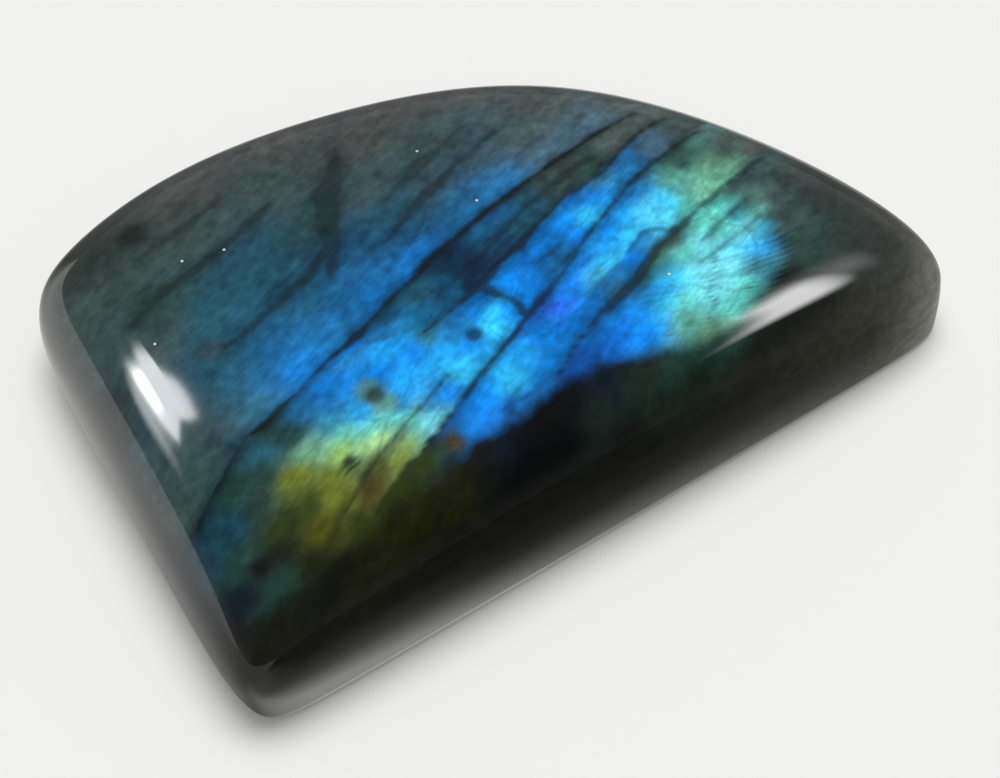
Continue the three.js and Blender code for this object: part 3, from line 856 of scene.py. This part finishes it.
# Feldspar polished to a glassy face: mirror-like glints over a dark, slightly cloudy body. The sawn back
# stays satin. Fine streaks, clouds and cracks only change how light the flash is, as they lie inside the
# stone.
FELDSPAR_IOR = 1.56
POLISH = 0.05
SATIN = 0.4
SATIN_HEIGHTS = (0.1 * MM, 0.3 * MM)
SEAM_COLOUR = "#141c1a"
SEAM_RAGGED = 0.03
CORE_EDGE = (-0.12, 0.18)
CORE_SHARE = 0.95
HALO_EDGE = (0.0, 0.7)
HALO_SHARE = 0.45
STREAK_STEP = (0.14, 4.0)
STREAK_LIGHT = (0.95, 1.2)
CLOUD_STEP = (0.5, 1.5)
CLOUD_LIGHT = (0.85, 1.25)
NOISE_SPREAD = (0.25, 0.75)
RAGGED_SPREAD = (0.2, 0.8)
CRACK_STEP = (3.0, 1.6)
WANDER_STEP = (0.8, 1.0)
CRACK_WANDER = 0.2
CRACK_EDGE = 0.04
CRACK_SHARE = 0.2
CRACKED_FLASH = (0.1, 0.45)
DUST = [
    (17.8, 24.9), (23.4, 16.1), (22.9, 20.7), (9.6, 21.0), (11.6, 20.4), (5.9, 17.2), (37.6, 4.5),
    (28.5, 7.1), (41.0, 5.3),
]
DUST_EDGE = (0.045 * MM, 0.09 * MM)
DUST_COLOUR = "#e8eef0"
DUST_SHARE = 0.9

polished, tree = new_material("polished_labradorite")
position = add_node(tree, "TexCoord").outputs["Object"]

# Object coordinates in steps of each pattern's own width in mm, drawn out along the grain. The real
# streaks are finer than a tenth of a millimetre, and are drawn as coarse as they need to show.
patterns = []
for width, stretch in (STREAK_STEP, CLOUD_STEP, WANDER_STEP, CRACK_STEP):
    steps = (stretch * width * MM, width * MM, width * MM)
    inputs = {"Vector": position, "Rotation": (0, 0, GRAIN_TILT), "Scale": steps}
    patterns.append(add_node(tree, "Mapping", inputs, vector_type="TEXTURE"))
in_streaks, in_clouds, in_wander, in_cracks = patterns
streak = add_node(tree, "TexNoise", {"Vector": in_streaks, "Scale": 1, "Detail": 2})
streak = add_node(tree, "MapRange", [streak, *NOISE_SPREAD, *STREAK_LIGHT], **SMOOTH)
cloud = add_node(tree, "TexNoise", {"Vector": in_clouds, "Scale": 1, "Detail": 4})
cloud_light = add_node(tree, "MapRange", [cloud, *NOISE_SPREAD, *CLOUD_LIGHT], **SMOOTH)
light = add_node(tree, "Math", [streak, cloud_light], operation="MULTIPLY")

# A dark line has a core in the seam's colour and a soft halo that dims the flash beside it.
distance = add_node(tree, "Attribute", attribute_name="line_distance").outputs["Fac"]
darkness = add_node(tree, "Attribute", attribute_name="line_darkness").outputs["Fac"]
ragged = add_node(tree, "MapRange", [cloud, *RAGGED_SPREAD, -SEAM_RAGGED, SEAM_RAGGED], **SMOOTH)
ragged = add_node(tree, "Math", [distance, ragged], operation="ADD")
core = add_node(tree, "MapRange", [ragged, *CORE_EDGE, CORE_SHARE, 0], **SMOOTH)
core = add_node(tree, "Math", [darkness, core], operation="MULTIPLY")
halo = add_node(tree, "MapRange", [ragged, *HALO_EDGE, HALO_SHARE, 0], **SMOOTH)
halo = add_node(tree, "Math", [darkness, halo], operation="MULTIPLY")
halo = add_node(tree, "Math", [1, halo], operation="SUBTRACT")
light = add_node(tree, "Math", [light, halo], operation="MULTIPLY")

# Cracks are the edges between the cells of a wandering pattern. They show where the flash is bright.
wander = add_node(tree, "TexNoise", {"Vector": in_wander, "Scale": 1, "Detail": 2}).outputs["Color"]
bent = add_node(tree, "VectorMath", [wander, (CRACK_WANDER,) * 3, in_cracks], operation="MULTIPLY_ADD")
to_crack = add_node(tree, "TexVoronoi", {"Vector": bent, "Scale": 1}, feature="DISTANCE_TO_EDGE")
flash_tone = add_node(tree, "Attribute", attribute_name="flash").outputs["Color"]
brightness = add_node(tree, "RGBToBW", [flash_tone])
shown = add_node(tree, "MapRange", [brightness, *CRACKED_FLASH, 0, CRACK_SHARE], **SMOOTH)
crack = add_node(tree, "MapRange", [to_crack, 0, CRACK_EDGE, 1, 0], **SMOOTH)
crack = add_node(tree, "Math", [shown, crack], operation="MULTIPLY")
crack = add_node(tree, "Math", [1, crack], operation="SUBTRACT")
light = add_node(tree, "Math", [light, crack], operation="MULTIPLY")
tone = add_node(tree, "VectorMath", {0: flash_tone, "Scale": light}, operation="SCALE")
tone = add_node(tree, "Mix", {0: core, 6: tone, 7: linear(SEAM_COLOUR)}, data_type="RGBA").outputs[2]

# Specks of dust lie on the polish, pale in the middle and gone at their edge.
for x, y in DUST:
    speck = ((x + near_corner[0]) * MM, (y + near_corner[1]) * MM, crown_height(np.array([x, y])) * MM)
    away = add_node(tree, "VectorMath", [position, speck], operation="DISTANCE").outputs["Value"]
    share = add_node(tree, "MapRange", [away, *DUST_EDGE, DUST_SHARE, 0], **SMOOTH)
    tone = add_node(tree, "Mix", {0: share, 6: tone, 7: linear(DUST_COLOUR)}, data_type="RGBA").outputs[2]

height = add_node(tree, "SeparateXYZ", [position]).outputs["Z"]
roughness = add_node(tree, "MapRange", [height, *SATIN_HEIGHTS, SATIN, POLISH], **SMOOTH)
surface = add_node(tree, "BsdfPrincipled", {"Base Color": tone, "Roughness": roughness, "IOR": FELDSPAR_IOR})
add_node(tree, "OutputMaterial", {"Surface": surface})
mesh.materials.append(polished)

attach(stone, "root")
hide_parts("cabochon")
